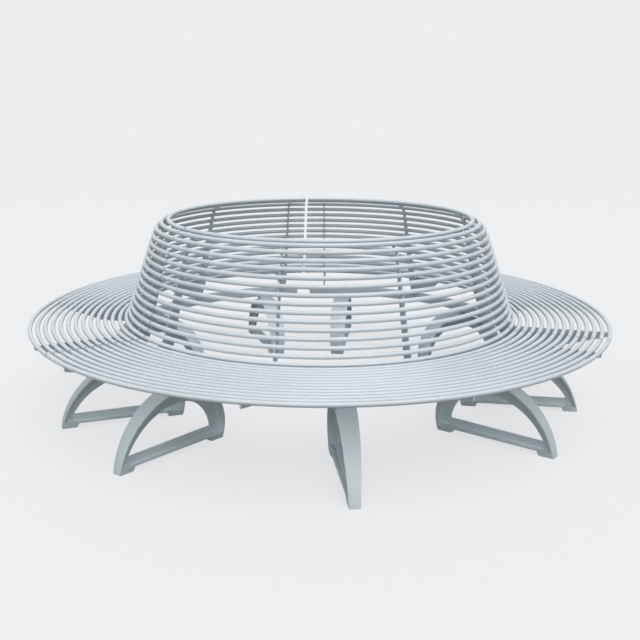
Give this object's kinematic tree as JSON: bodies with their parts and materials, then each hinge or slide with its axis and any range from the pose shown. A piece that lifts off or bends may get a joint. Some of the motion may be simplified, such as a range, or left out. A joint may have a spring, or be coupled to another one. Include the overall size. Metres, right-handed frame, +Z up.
{
  "type": "circular tree bench",
  "caption": "Round outdoor bench of bent round bars on rib plates and half-moon legs, sat on from outside, with a curled back round an open middle for a tree.",
  "frame": {"origin": "middle of the ring, on the floor", "axes": "+Z up along the ring's middle, -Y through the middle of section a, which faces the picture's viewer, +X to the viewer's right"},
  "size_m": [2.4168, 2.4168, 0.8028],
  "materials": {
    "bars": "satin powder coat",
    "ribs": "satin powder coat",
    "bearers": "satin powder coat",
    "legs": "powder coat over a fine cast skin"
  },
  "bodies": {
    "root": {"edge_bar_a": "bars", "seat_bars_a": "bars", "back_bars_a": "bars", "top_bar_a": "bars", "rib_a1": "ribs", "rib_a2": "ribs", "rib_a3": "ribs", "rib_a4": "ribs", "bearer_a": "bearers", "bearer_caps_a": "bearers", "leg_a1": "legs", "leg_a2": "legs", "leg_a3": "legs", "edge_bar_b": "bars", "seat_bars_b": "bars", "back_bars_b": "bars", "top_bar_b": "bars", "rib_b1": "ribs", "rib_b2": "ribs", "rib_b3": "ribs", "rib_b4": "ribs", "bearer_b": "bearers", "bearer_caps_b": "bearers", "leg_b1": "legs", "leg_b2": "legs", "leg_b3": "legs", "edge_bar_c": "bars", "seat_bars_c": "bars", "back_bars_c": "bars", "top_bar_c": "bars", "rib_c1": "ribs", "rib_c2": "ribs", "rib_c3": "ribs", "rib_c4": "ribs", "bearer_c": "bearers", "bearer_caps_c": "bearers", "leg_c1": "legs", "leg_c2": "legs", "leg_c3": "legs"}
  },
  "joints": []
}
